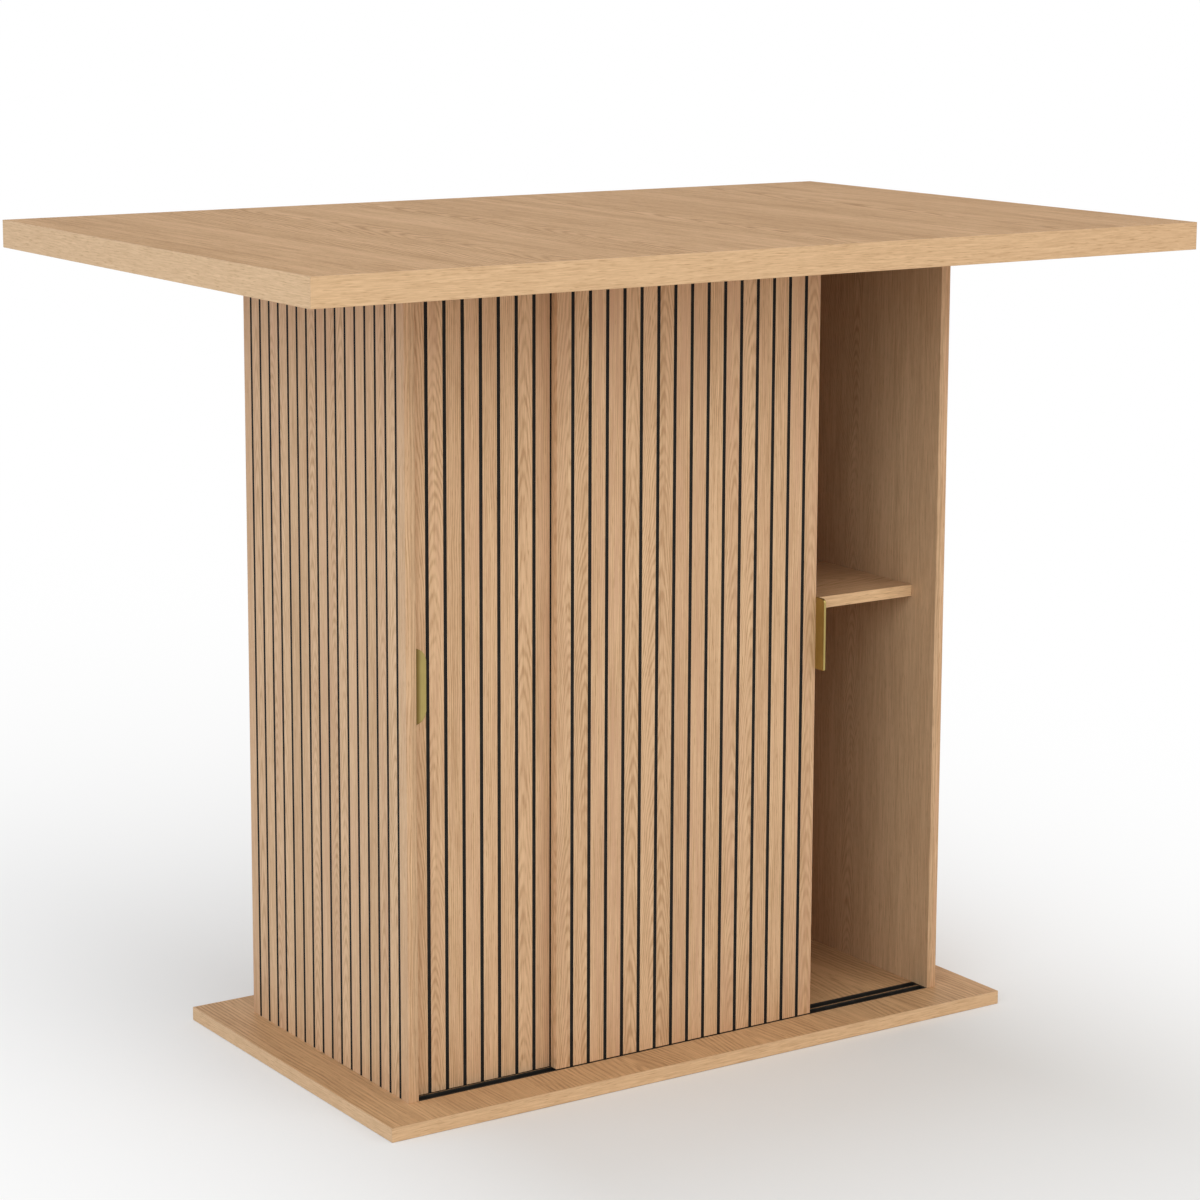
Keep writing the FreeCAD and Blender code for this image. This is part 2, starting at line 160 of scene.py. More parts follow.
class TreeNodes:
    """Adds and joins the nodes of one node tree."""

    def __init__(self, tree):
        self.tree = tree

    def add(self, kind, **settings):
        node = self.tree.nodes.new(kind)
        for key, value in settings.items():
            setattr(node, key, value)
        return node

    def feed(self, socket, value):
        """Joins a socket to another one, or sets it."""
        if isinstance(value, bpy.types.NodeSocket):
            self.tree.links.new(value, socket)
        else:
            socket.default_value = value

    def feed_all(self, sockets, values):
        for socket, value in zip(sockets, values):
            self.feed(socket, value)

    def math(self, operation, *values, clamp=False):
        node = self.add("ShaderNodeMath", operation=operation, use_clamp=clamp)
        self.feed_all(node.inputs, values)
        return node.outputs[0]

    def vector(self, x, y, z):
        node = self.add("ShaderNodeCombineXYZ")
        self.feed_all(node.inputs, (x, y, z))
        return node.outputs[0]

    def noise(self, vector, detail, roughness):
        node = self.add("ShaderNodeTexNoise", noise_dimensions="3D")
        self.feed(node.inputs["Vector"], vector)
        self.feed(node.inputs["Scale"], 1.0)
        self.feed(node.inputs["Detail"], detail)
        self.feed(node.inputs["Roughness"], roughness)
        return node.outputs["Fac"]

    def chance(self, number):
        """Three random numbers for each whole number."""
        node = self.add("ShaderNodeTexWhiteNoise", noise_dimensions="1D")
        self.feed(node.inputs["W"], number)
        split = self.add("ShaderNodeSeparateColor")
        self.feed(split.inputs[0], node.outputs["Color"])
        return list(split.outputs)

    def spread(self, value, start, end=UNIT, kind="LINEAR"):
        """Carries one range of values to another."""
        node = self.add("ShaderNodeMapRange", interpolation_type=kind)
        self.feed_all(node.inputs, (value, *start, *end))
        return node.outputs[0]

    def blend(self, share, first, second):
        """Mixes two colours."""
        node = self.add("ShaderNodeMix", data_type="RGBA")
        self.feed(node.inputs["Factor"], share)
        for socket, value in ((node.inputs[6], first), (node.inputs[7], second)):
            self.feed(socket, value if isinstance(value, bpy.types.NodeSocket) else (*value, 1.0))
        return node.outputs[2]

    def blend_values(self, share, first, second):
        """Mixes two numbers."""
        node = self.add("ShaderNodeMix", data_type="FLOAT")
        self.feed_all(node.inputs[0:1] + node.inputs[2:4], (share, first, second))
        return node.outputs[0]

    def bump(self, height, relief):
        """A surface normal from a height, over slightly rounded edges."""
        node = self.add("ShaderNodeBump")
        self.feed(node.inputs["Strength"], relief.strength)
        self.feed(node.inputs["Distance"], relief.depth)
        self.feed(node.inputs["Height"], height)
        if relief.edge:
            rounded = self.add("ShaderNodeBevel", samples=BEVEL_SAMPLES)
            self.feed(rounded.inputs["Radius"], relief.edge)
            self.feed(node.inputs["Normal"], rounded.outputs[0])
        return node.outputs[0]

    def seen_directly(self):
        """One where the camera, a reflection or a clear view reaches a surface, otherwise nothing."""
        path = self.add("ShaderNodeLightPath")
        total = path.outputs["Is Camera Ray"]
        for name in ("Is Glossy Ray", "Is Transmission Ray"):
            total = self.math("MAXIMUM", total, path.outputs[name])
        return total


class FinishNodes(TreeNodes):
    """Adds and joins the nodes of one finish. Its places are object coordinates in metres."""

    def __init__(self, name):
        self.material = bpy.data.materials.new(name)
        self.material.use_nodes = True
        super().__init__(self.material.node_tree)
        self.tree.nodes.clear()
        split = self.add("ShaderNodeSeparateXYZ")
        self.feed(split.inputs[0], self.add("ShaderNodeTexCoord").outputs["Object"])
        self.places = list(split.outputs)

    def pattern(self, kind, axis="Z"):
        """Noise that is stretched along one axis."""
        scales = [kind.across] * len(self.places)
        scales[AXIS_NUMBER[axis]] = kind.along
        scaled = [self.math("MULTIPLY", place, scale) for place, scale in zip(self.places, scales)]
        return self.noise(self.vector(*scaled), kind.detail, kind.roughness)

    def finish(self, colour, roughness, normal, **constants):
        """The shader and its output."""
        shader = self.add("ShaderNodeBsdfPrincipled")
        self.feed(shader.inputs["Base Color"], colour)
        self.feed(shader.inputs["Roughness"], roughness)
        self.feed(shader.inputs["Normal"], normal)
        for name, value in constants.items():
            self.feed(shader.inputs[name.replace("_", " ")], value)
        return self.show(shader)

    def show(self, shader):
        output = self.add("ShaderNodeOutputMaterial")
        self.feed(output.inputs["Surface"], shader.outputs[0])
        return self.material


class Mark(NamedTuple):
    """One size of marks in the wood, in metres, and how much they darken it."""
    width: float
    length: float
    share: float = 0.0


class Layer(NamedTuple):
    """The noise of one kind of marks: its own place, its detail and the values that show."""
    number: float
    detail: float
    shows: tuple = UNIT


class Grain(NamedTuple):
    """Axes along, across and into the wood, its seed, and its rings and marks. Lengths are in metres."""
    axes: str
    seed: float
    leaf_width: float = 0.16
    arch_length: float = 0.024
    arch_width: float = 0.0085
    arch_turns: float = 3.8
    line_spacing: float = 0.0025
    ring_share: float = 0.62
    streak: Mark = Mark(0.0011, 0.060, 0.95)
    vein: Mark = Mark(0.0034, 0.16, 0.32)
    cloud: Mark = Mark(0.030, 0.30, 0.26)
    pore: Mark = Mark(0.0009, 0.014, 0.80)
    gloss: float = 0.30


class Slats(NamedTuple):
    """The first groove's middle, the grooves' pitch and width, and where the outer half is."""
    first: float
    pitch: float
    groove_width: float
    outer_from: float
    outer_way: float


WIDE_BOARD = dict(
    leaf_width=0.22, arch_length=0.045, arch_width=0.016, arch_turns=2.8, line_spacing=0.005,
    ring_share=0.55, streak=Mark(0.0012, 0.07, 0.80), vein=Mark(0.0045, 0.30, 0.28),
    cloud=Mark(0.045, 0.45, 0.30), pore=Mark(0.0008, 0.014, 0.60))
EDGE_BAND = dict(
    ring_share=0.08, streak=Mark(0.0014, 0.030, 0.60), vein=Mark(0.0030, 0.120, 0.10),
    cloud=Mark(0.02, 0.20, 0.05), pore=Mark(0.0009, 0.014, 0.60))
TURNED_WOOD = dict(streak=Mark(0.001, 0.02, 0.95))
WORKTOP_GLOSS = 0.03
BASE_GLOSS = 0.12

# Where each finish lies in the noise
SEED = {
    "worktop": 3.0, "base_plate": 5.0, "long_bands": 11.0, "short_bands": 17.0, "divider": 23.0,
    "shelves": 29.0, "interior_front_bands": 31.0, "dowels": 37.0, "left_side_panel": 101.0,
    "right_side_panel": 151.0, "back_panel": 201.0, "left_door": 301.0, "right_door": 351.0,
}
SEED_STEP = 0.618
SECOND_DRAW = 0.37

# How a board is split in leaves, and how far apart in the pattern two slats can lie, in metres
INWARD_SLANT = 0.7
HALF_STEP = 0.5
SEAM_WIDTH = 0.15
SLAT_JUMP_ALONG = 7.3
SLAT_JUMP_ACROSS = 1.9

# Patterns that bend the grain, and how far they bend it
SWAY_MARK = Mark(0.06, 0.22)
SWAY_LAYER = Layer(20.5, 2.0)
FLOW_MARK = Mark(0.10, 0.30)
FLOW_LAYER = Layer(26.5, 2.0)
RAGGED_MARK = Mark(0.0018, 0.016)
RAGGED_LAYER = Layer(31.5, 2.0)
MARK_SWAY = 0.006
LINE_SWAY = 0.012
HEART_SWAY = 1.4
FLOW_SWAY = 0.20
RAGGED_TURNS = 0.55

# Growth rings: where the heart lies in a piece, how arches are stretched and how many pieces have lines
HEART_PLACES = (0.1, 0.9)
ARCH_STRETCH = (0.55, 1.6)
STRAIGHT_SHARE = 0.52
RING_POWER = 1.8
PATCH_SIZE = 0.5
PATCH_SHARES = (0.25, 1.0)
PORE_SHARES = (0.35, 1.0)

# The kinds of marks
PATCH_LAYER = Layer(8.5, 1.0, (0.32, 0.62))
STREAK_LAYER = Layer(1.5, 5.0, (0.30, 0.70))
VEIN_LAYER = Layer(16.5, 2.0, (0.30, 0.70))
CLOUD_LAYER = Layer(4.5, 2.0, (0.28, 0.72))
PORE_LAYER = Layer(12.5, 1.0, (0.55, 0.72))
MARK_ROUGHNESS = 0.66

# Tones from 0 for a wood's pale colour to 1 for its dark one, and the middle of each kind of mark
MIDDLE_TONE = 0.47
NOISE_MIDDLE = 0.50
RING_MIDDLE = 0.24
PORE_MIDDLE = 0.08

# How far slats differ in tone, their painted highlight along each groove edge, and how far the black wraps
# a groove's edge, in metres
SLAT_TONE = 0.14
EDGE_HIGHLIGHT_TONE = 0.20
EDGE_HIGHLIGHT_WIDTH = 0.0015
BLACK_WRAP = 0.00008

# The rosy part of the slats
BLUSH_MARK = Mark(0.0030, 0.09)
BLUSH_LAYER = Layer(41.5, 2.0, (0.35, 0.65))
BLUSH_SHARES = (0.0, 0.9)
SLAT_BLUSH = (0.2, 0.9)

# The satin surface of the wood
OAK_ROUGHNESS = (0.46, 0.62)
OAK_RELIEF = Relief(depth=0.00016, strength=0.55, edge=0.0006)
PORE_HEIGHT = -0.8
STREAK_HEIGHT = -0.35


class OakNodes(FinishNodes):
    """Oak with growth rings, streaks, veins, clouds and pores along its grain."""

    def __init__(self, name, grain, slats=None):
        super().__init__(name)
        self.grain = grain
        self.slats = slats
        self.along, self.side, self.inward = [self.places[AXIS_NUMBER[axis]] for axis in grain.axes]
        self.across = self.math("MULTIPLY_ADD", self.inward, INWARD_SLANT, self.side)
        self.split_in_leaves()
        if slats:
            self.split_in_slats()
        number = self.math("ADD", self.math("FLOOR", self.steps), grain.seed)
        self.chances = self.chance(number)
        self.more_chances = self.chance(self.math("ADD", number, SECOND_DRAW))
        if slats:
            self.part_slats()
        self.sway = self.marks(SWAY_MARK, SWAY_LAYER)

    def split_in_leaves(self):
        """A board shows wide leaves of wood. Their rings fade at the seams."""
        self.width = self.grain.leaf_width
        self.steps = self.math("DIVIDE", self.across, self.width)
        to_seam = self.math("PINGPONG", self.steps, HALF_STEP)
        self.seam = self.spread(to_seam, (0.0, SEAM_WIDTH), kind="SMOOTHSTEP")

    def split_in_slats(self):
        """On the outer half of a slatted panel each slat is a piece of its own."""
        slats = self.slats
        depth = self.math("MULTIPLY", self.inward, slats.outer_way)
        self.outer = self.math("GREATER_THAN", depth, slats.outer_from)
        slat_steps = self.math("DIVIDE", self.math("SUBTRACT", self.side, slats.first), slats.pitch)
        self.to_groove = self.math("MULTIPLY", self.math("PINGPONG", slat_steps, HALF_STEP), slats.pitch)
        self.steps = self.blend_values(self.outer, self.steps, slat_steps)
        self.width = self.blend_values(self.outer, self.width, slats.pitch)
        self.seam = self.math("MAXIMUM", self.seam, self.outer)

    def part_slats(self):
        """Takes each slat from another place of the pattern."""
        jump_along, jump_across = [
            self.math("MULTIPLY", chance, self.outer) for chance in self.chances[:2]]
        self.along = self.math("MULTIPLY_ADD", jump_along, SLAT_JUMP_ALONG, self.along)
        self.across = self.math("MULTIPLY_ADD", jump_across, SLAT_JUMP_ACROSS, self.across)

    def marks(self, mark, layer, swaying=False):
        """Marks of one size. Each layer has its own pattern."""
        place = self.across
        if swaying:
            place = self.math("MULTIPLY_ADD", self.sway, MARK_SWAY, place)
        vector = self.vector(
            self.math("DIVIDE", place, mark.width), self.math("DIVIDE", self.along, mark.length),
            layer.number + self.grain.seed * SEED_STEP)
        return self.noise(vector, layer.detail, MARK_ROUGHNESS)

    def shown(self, mark, layer, swaying=False, shares=UNIT):
        """Marks with the part of their noise that shows."""
        return self.spread(self.marks(mark, layer, swaying), layer.shows, shares)

    def arches(self):
        """Nested arches round the heart of a piece."""
        grain = self.grain
        heart_place = self.spread(self.more_chances[0], UNIT, HEART_PLACES)
        heart = self.math("SUBTRACT", self.math("FRACT", self.steps), heart_place)
        heart = self.math("MULTIPLY", heart, self.width)
        sway = self.math("SUBTRACT", self.sway, NOISE_MIDDLE)
        heart = self.math("MULTIPLY_ADD", sway, grain.arch_width * HEART_SWAY, heart)
        square = self.math("POWER", self.math("DIVIDE", heart, grain.arch_width), 2.0)
        arch = self.math("SQRT", self.math("ADD", square, 1.0))
        arch = self.math("MULTIPLY", arch, grain.arch_turns)
        flow = self.math("MULTIPLY_ADD", self.marks(FLOW_MARK, FLOW_LAYER), FLOW_SWAY, self.along)
        lengths = [share * grain.arch_length for share in ARCH_STRETCH]
        stretch = self.spread(self.more_chances[1], UNIT, lengths)
        return self.math("ADD", self.math("DIVIDE", flow, stretch), arch)

    def lines(self):
        """Straight lines along a piece."""
        place = self.math("MULTIPLY_ADD", self.sway, LINE_SWAY, self.across)
        return self.math("DIVIDE", place, self.grain.line_spacing)

    def rings(self):
        """Growth rings: arches on some pieces and lines on the others."""
        arched = self.math("GREATER_THAN", self.more_chances[2], STRAIGHT_SHARE)
        turns = self.blend_values(arched, self.lines(), self.arches())
        turns = self.math("MULTIPLY_ADD", self.marks(RAGGED_MARK, RAGGED_LAYER), RAGGED_TURNS, turns)
        waves = self.math("SINE", self.math("MULTIPLY", turns, 2.0 * pi))
        return self.math("POWER", self.spread(waves, (-1.0, 1.0)), RING_POWER)

    def darkness(self):
        """How dark the wood is. Each kind of mark darkens it by its share, about a middle tone."""
        grain = self.grain
        rings = self.rings()
        patch = Mark(grain.cloud.width * PATCH_SIZE, grain.cloud.length * PATCH_SIZE)
        patches = self.shown(patch, PATCH_LAYER, shares=PATCH_SHARES)
        ring_marks = self.math("MULTIPLY", self.math("MULTIPLY", rings, patches), self.seam)
        self.streaks = self.shown(grain.streak, STREAK_LAYER, swaying=True)
        veins = self.shown(grain.vein, VEIN_LAYER, swaying=True)
        clouds = self.shown(grain.cloud, CLOUD_LAYER)
        pores = self.shown(grain.pore, PORE_LAYER, swaying=True)
        self.pores = self.math("MULTIPLY", pores, self.spread(rings, UNIT, PORE_SHARES))
        darkness = MIDDLE_TONE
        for mark, middle, share in (
                (ring_marks, RING_MIDDLE, grain.ring_share),
                (self.streaks, NOISE_MIDDLE, grain.streak.share),
                (veins, NOISE_MIDDLE, grain.vein.share),
                (clouds, NOISE_MIDDLE, grain.cloud.share),
                (self.pores, PORE_MIDDLE, grain.pore.share)):
            darkness = self.math("MULTIPLY_ADD", self.math("SUBTRACT", mark, middle), share, darkness)
        if self.slats:
            darkness = self.slat_darkness(darkness)
        return self.math("ADD", darkness, 0.0, clamp=True)

    def slat_darkness(self, darkness):
        """Gives each slat a tone of its own and a painted highlight: a paler rim along each groove edge."""
        own_tone = self.spread(self.chances[2], UNIT, (-SLAT_TONE, SLAT_TONE))
        darkness = self.math("MULTIPLY_ADD", own_tone, self.outer, darkness)
        # Painted highlight: the slat is paler in a thin strip beside each groove edge
        groove_edge = self.slats.groove_width / 2
        highlight_places = (groove_edge, groove_edge + EDGE_HIGHLIGHT_WIDTH)
        painted_highlight = self.spread(self.to_groove, highlight_places, (EDGE_HIGHLIGHT_TONE, 0.0), "SMOOTHSTEP")
        return self.math("SUBTRACT", darkness, self.math("MULTIPLY", painted_highlight, self.outer))

    def polish(self, colour, darkness):
        """A satin surface with fine pores and streaks."""
        roughness = self.spread(darkness, UNIT, OAK_ROUGHNESS)
        streak_height = self.math("MULTIPLY", self.streaks, STREAK_HEIGHT)
        height = self.math("MULTIPLY_ADD", self.pores, PORE_HEIGHT, streak_height)
        normal = self.bump(height, OAK_RELIEF)
        return self.finish(colour, roughness, normal, Specular_IOR_Level=self.grain.gloss)


def oak_finish(name, grain, light, dark):
    """Wood of a plain board, band or dowel."""
    oak = OakNodes(name, grain)
    darkness = oak.darkness()
    return oak.polish(oak.blend(darkness, light, dark), darkness)


def slat_finish(name, grain, slats, colours):
    """Oak of a slatted panel: slats with black groove walls outside, plain wood inside."""
    oak = OakNodes(name, grain, slats)
    darkness = oak.darkness()
    outer_colour = oak.blend(darkness, colours.slat_light, colours.slat_dark)
    inner_colour = oak.blend(darkness, colours.inside_light, colours.inside_dark)
    colour = oak.blend(oak.outer, inner_colour, outer_colour)
    blush = oak.shown(BLUSH_MARK, BLUSH_LAYER, swaying=True, shares=BLUSH_SHARES)
    blush = oak.math("MULTIPLY", blush, oak.spread(oak.chances[0], UNIT, SLAT_BLUSH))
    colour = oak.blend(oak.math("MULTIPLY", blush, oak.outer), colour, colours.slat_rose)
    wall = oak.math("LESS_THAN", oak.to_groove, slats.groove_width / 2 + BLACK_WRAP)
    colour = oak.blend(oak.math("MULTIPLY", wall, oak.outer), colour, colours.black)
    return oak.polish(colour, darkness)


def slats_of(panel, axes, grooves, groove_width, outer_way):
    """The slats of a panel, from the black strips that divide it."""
    side, inward = [AXIS_NUMBER[axis] for axis in axes[1:]]
    strips_low, strips_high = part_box(f"{panel}_inlays")
    pitch = (strips_high[side] - strips_low[side] - groove_width) / (grooves - 1)
    low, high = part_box(panel)
    outer_from = outer_way * (low[inward] + high[inward]) / 2
    return Slats(strips_low[side] + groove_width / 2, pitch, groove_width, outer_from, outer_way)


# Matt black: its lines and dust, and how much rougher and paler they make it
BLACK_LINES = Pattern(across=900.0, along=14.0)
BLACK_DUST = Pattern(across=60.0, along=60.0, detail=4.0, roughness=0.6)
BLACK_RELIEF = Relief(depth=0.00012, strength=0.5, edge=0.0004)
BLACK_MARKS = (0.6, 1.4)
BLACK_ROUGHER = 0.16
DUST_SHOWS = (0.45, 0.75)
DUST_GAIN = 1.6
DUST_LIFT = 0.002
STRIP = dict(axis="Z", rough=0.60, shine=0.10)
TRACK = dict(axis="X", rough=0.42, shine=0.25)
SHOE = dict(axis="X", rough=0.50, shine=0.25)


def black_finish(name, colour, axis, rough, shine):
    """Matt black with fine lines along its length and a little dust."""
    nodes = FinishNodes(name)
    lines = nodes.pattern(BLACK_LINES, axis)
    dust = nodes.pattern(BLACK_DUST)
    pale = tuple(part * DUST_GAIN + DUST_LIFT for part in colour)
    tone = nodes.blend(nodes.spread(dust, DUST_SHOWS), tuple(colour), pale)
    marks = nodes.math("ADD", lines, dust)
    roughness = nodes.spread(marks, BLACK_MARKS, (rough, rough + BLACK_ROUGHER))
    normal = nodes.bump(lines, BLACK_RELIEF)
    return nodes.finish(tone, roughness, normal, Specular_IOR_Level=shine)


# Brushed metal: its lines and clouds, and how much rougher and deeper they make it
METAL_LINES = Pattern(across=2600.0, along=25.0, detail=3.0, roughness=0.6)
METAL_CLOUDS = Pattern(across=70.0, along=70.0, detail=3.0)
METAL_RELIEF = Relief(depth=0.00005, strength=0.45)
METAL_SHOWS = (0.3, 0.7)
METAL_MARKS = (0.7, 1.3)
METAL_ROUGHER = 0.14
METAL_DEEP = 0.72
LINE_SHARES = (0.0, 0.55)
CLOUD_SHARES = (0.0, 0.35)
# How much of the painted shade shows at each end of its span
PAINTED_SHADE_SHARES = (0.85, 0.0)


def metal_finish(name, colour, axis, rough, edge, fade=None, dark=None):
    """Brushed metal with lines along one axis and faint clouds. It can darken along X with a painted shade.
    """
    nodes = FinishNodes(name)
    lines = nodes.pattern(METAL_LINES, axis)
    clouds = nodes.pattern(METAL_CLOUDS)
    deep = tuple(part * METAL_DEEP for part in colour)
    line_share = nodes.spread(lines, METAL_SHOWS, LINE_SHARES)
    cloud_share = nodes.spread(clouds, METAL_SHOWS, CLOUD_SHARES)
    tone = nodes.blend(nodes.math("ADD", line_share, cloud_share), tuple(colour), deep)
    # Painted shade: the colour darkens towards low X over the given span
    if fade:
        tone = nodes.blend(nodes.spread(nodes.places[0], fade, PAINTED_SHADE_SHARES), tone, dark)
    marks = nodes.math("ADD", lines, clouds)
    roughness = nodes.spread(marks, METAL_MARKS, (rough, rough + METAL_ROUGHER))
    normal = nodes.bump(lines, METAL_RELIEF._replace(edge=edge))
    return nodes.finish(tone, roughness, normal, Metallic=1.0)


# Felt: its fibres and tufts, and how much rougher and paler they make it
FELT_FIBRES = Pattern(across=1400.0, along=1400.0, detail=4.0, roughness=0.7)
FELT_TUFTS = Pattern(across=300.0, along=300.0)
FELT_RELIEF = Relief(depth=0.0004, strength=0.8)
FELT_MARKS = (0.7, 1.3)
FELT_GAIN = 2.0
FIBRES_SHOW = (0.2, 0.8)
FELT_ROUGHNESS = (0.85, 1.0)
FELT_SHEEN = dict(Sheen_Weight=0.4, Sheen_Roughness=0.5, Specular_IOR_Level=0.15)


def felt_finish(name, colour):
    """Soft felt with loose fibres."""
    nodes = FinishNodes(name)
    fibres = nodes.pattern(FELT_FIBRES)
    marks = nodes.math("ADD", fibres, nodes.pattern(FELT_TUFTS))
    pale = tuple(part * FELT_GAIN for part in colour)
    tone = nodes.blend(nodes.spread(marks, FELT_MARKS), tuple(colour), pale)
    roughness = nodes.spread(fibres, FIBRES_SHOW, FELT_ROUGHNESS)
    return nodes.finish(tone, roughness, nodes.bump(fibres, FELT_RELIEF), **FELT_SHEEN)


def dress(material, *names):
    """Gives CAD nodes their finish."""
    for name in names:
        slots = frame["nodes"][name].data.materials
        slots.clear()
        slots.append(material)


# The end of its thin axis that a slatted panel's outer face lies at
LOW_END = -1.0
HIGH_END = 1.0


def dress_slatted(context, panel, axes, outer_way, grooves):
    """Gives a slatted panel its oak."""
    groove_width = context.scene.island_slats.groove_width
    slats = slats_of(panel, axes, grooves, groove_width, outer_way)
    name = panel.replace("_panel", "") + "_oak"
    grain = Grain(axes, SEED[panel])
    dress(slat_finish(name, grain, slats, context.scene.island_colours), panel)


def dress_board(colours, board, finish_name, gloss):
    """Gives a wide board its oak, and its edge bands theirs with short marks along each edge."""
    grain = Grain("YXZ", SEED[board], gloss=gloss, **WIDE_BOARD)
    dress(oak_finish(finish_name, grain, colours.board_light, colours.board_dark), board)
    for edge, axes in (("long", "XZY"), ("short", "YZX")):
        band = Grain(axes, SEED[f"{edge}_bands"], **EDGE_BAND)
        oak = oak_finish(f"{board}_{edge}_edge_oak", band, colours.edge_light, colours.edge_dark)
        dress(oak, f"{board}_{edge}_bands")


class IslandOperator(bpy.types.Operator):
    """Shared settings of the island's operators."""
    bl_options = {"REGISTER", "UNDO"}

    def colours(self, context):
        return context.scene.island_colours


class ISLAND_OT_worktop(IslandOperator):
    """Oak finish of the worktop and its edge bands"""
    bl_idname = "island.worktop"
    bl_label = "Worktop"

    def execute(self, context):
        dress_board(self.colours(context), "worktop", "worktop_oak", WORKTOP_GLOSS)
        return {"FINISHED"}


class ISLAND_OT_base(IslandOperator):
    """Oak finish of the base plate and its edge bands"""
    bl_idname = "island.base"
    bl_label = "Base plate"

    def execute(self, context):
        dress_board(self.colours(context), "base_plate", "base_oak", BASE_GLOSS)
        return {"FINISHED"}


class ISLAND_OT_sides(IslandOperator):
    """Slatted finish of the two side panels"""
    bl_idname = "island.sides"
    bl_label = "Side panels"

    def execute(self, context):
        grooves = context.scene.island_slats.side_grooves
        dress_slatted(context, "left_side_panel", "ZYX", LOW_END, grooves)
        dress_slatted(context, "right_side_panel", "ZYX", HIGH_END, grooves)
        strip_black = black_finish("side_strip_black", self.colours(context).black, **STRIP)
        dress(strip_black, "left_side_panel_inlays", "right_side_panel_inlays")
        return {"FINISHED"}


class ISLAND_OT_back(IslandOperator):
    """Slatted finish of the back panel"""
    bl_idname = "island.back"
    bl_label = "Back panel"

    def execute(self, context):
        dress_slatted(context, "back_panel", "ZXY", HIGH_END, context.scene.island_slats.back_grooves)
        strip_black = black_finish("back_strip_black", self.colours(context).black, **STRIP)
        dress(strip_black, "back_panel_inlays")
        return {"FINISHED"}


class ISLAND_OT_doors(IslandOperator):
    """Slatted finish of the two sliding doors"""
    bl_idname = "island.doors"
    bl_label = "Doors"

    def execute(self, context):
        for door in ("left_door", "right_door"):
            dress_slatted(context, door, "ZXY", LOW_END, context.scene.island_slats.door_grooves)
        strip_black = black_finish("door_strip_black", self.colours(context).black, **STRIP)
        dress(strip_black, "left_door_inlays", "right_door_inlays")
        return {"FINISHED"}


class ISLAND_OT_inside(IslandOperator):
    """Finish of the divider, the shelves and what carries them"""
    bl_idname = "island.inside"
    bl_label = "Inside"

    def execute(self, context):
        colours = self.colours(context)
        light, dark = colours.inside_light, colours.inside_dark
        divider = Grain("ZYX", SEED["divider"], **WIDE_BOARD)
        shelf = Grain("XYZ", SEED["shelves"], **WIDE_BOARD)
        band = Grain("XZY", SEED["interior_front_bands"], **EDGE_BAND)
        dress(oak_finish("divider_oak", divider, light, dark), "divider")
        dress(oak_finish("shelf_oak", shelf, light, dark), "left_shelf", "right_shelf")
        band_oak = oak_finish("inside_edge_oak", band, colours.shelf_edge, colours.edge_dark)
        dress(band_oak, "interior_front_bands")
        dress(metal_finish("support_zinc", colours.zinc, "Y", rough=0.34, edge=0.0003), "shelf_supports")
        return {"FINISHED"}


class ISLAND_OT_tracks(IslandOperator):
    """Matt black finish of the tracks and the doors' shoes"""
    bl_idname = "island.tracks"
    bl_label = "Tracks and shoes"

    def execute(self, context):
        black = self.colours(context).black
        dress(black_finish("track_black", black, **TRACK),
              "bottom_front_track", "bottom_rear_track", "top_front_track", "top_rear_track")
        dress(black_finish("shoe_black", black, **SHOE),
              "left_door_gliders", "left_door_guides", "right_door_gliders", "right_door_guides")
        return {"FINISHED"}


HANDLE_ROUGH = 0.30
HANDLE_EDGE = 0.0005
SCREW_ROUGH = 0.30
SCREW_EDGE = 0.0002
# How far left of the left handle's right edge its painted shade starts to fade and ends, in metres. The
# painted shade stands in for the side panel's shadow on the handle.
PAINTED_SHADE_FROM = 0.0100
PAINTED_SHADE_TO = 0.0058


class ISLAND_OT_handles(IslandOperator):
    """Brushed brass finish of the handles and their screws"""
    bl_idname = "island.handles"
    bl_label = "Handles"

    def execute(self, context):
        colours = self.colours(context)
        right_brass = metal_finish("handle_brass", colours.brass, "Z", HANDLE_ROUGH, HANDLE_EDGE)
        dress(right_brass, "right_handle")
        # The left handle gets a painted shade on its side towards the side panel
        right_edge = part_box("left_handle")[1][0]
        fade = (right_edge - PAINTED_SHADE_FROM, right_edge - PAINTED_SHADE_TO)
        left_brass_painted_shade = metal_finish(
            "left_handle_brass_painted_shade", colours.brass, "Z", HANDLE_ROUGH, HANDLE_EDGE, fade, colours.brass_painted_shade)
        dress(left_brass_painted_shade, "left_handle")
        screw_brass = metal_finish("handle_screw_brass", colours.brass, "X", SCREW_ROUGH, SCREW_EDGE)
        dress(screw_brass, "left_handle_screws", "right_handle_screws")
        return {"FINISHED"}


BEECH_DARK = 0.72


class ISLAND_OT_fasteners(IslandOperator):
    """Finish of the screws, brackets, dowels and bumpers"""
    bl_idname = "island.fasteners"
    bl_label = "Fasteners and bumpers"

    def execute(self, context):
        colours = self.colours(context)
        screw_zinc = metal_finish("screw_zinc", colours.zinc, "Z", SCREW_ROUGH, SCREW_EDGE)
        dress(screw_zinc, "base_screws", "bracket_screws")
        dress(metal_finish("bracket_zinc", colours.zinc, "X", rough=0.36, edge=0.0004), "worktop_brackets")
        grain = Grain("ZXY", SEED["dowels"], **TURNED_WOOD)
        dark_beech = tuple(part * BEECH_DARK for part in colours.beech)
        dress(oak_finish("dowel_beech", grain, colours.beech, dark_beech), "worktop_dowels", "panel_dowels")
        dress(felt_finish("bumper_felt", colours.felt), "door_bumpers")
        return {"FINISHED"}


class Lamp(NamedTuple):
    """A large square lamp that looks at a point. Lengths are in metres."""
    name: str
    place: tuple
    aim: tuple
    width: float
    colour: tuple


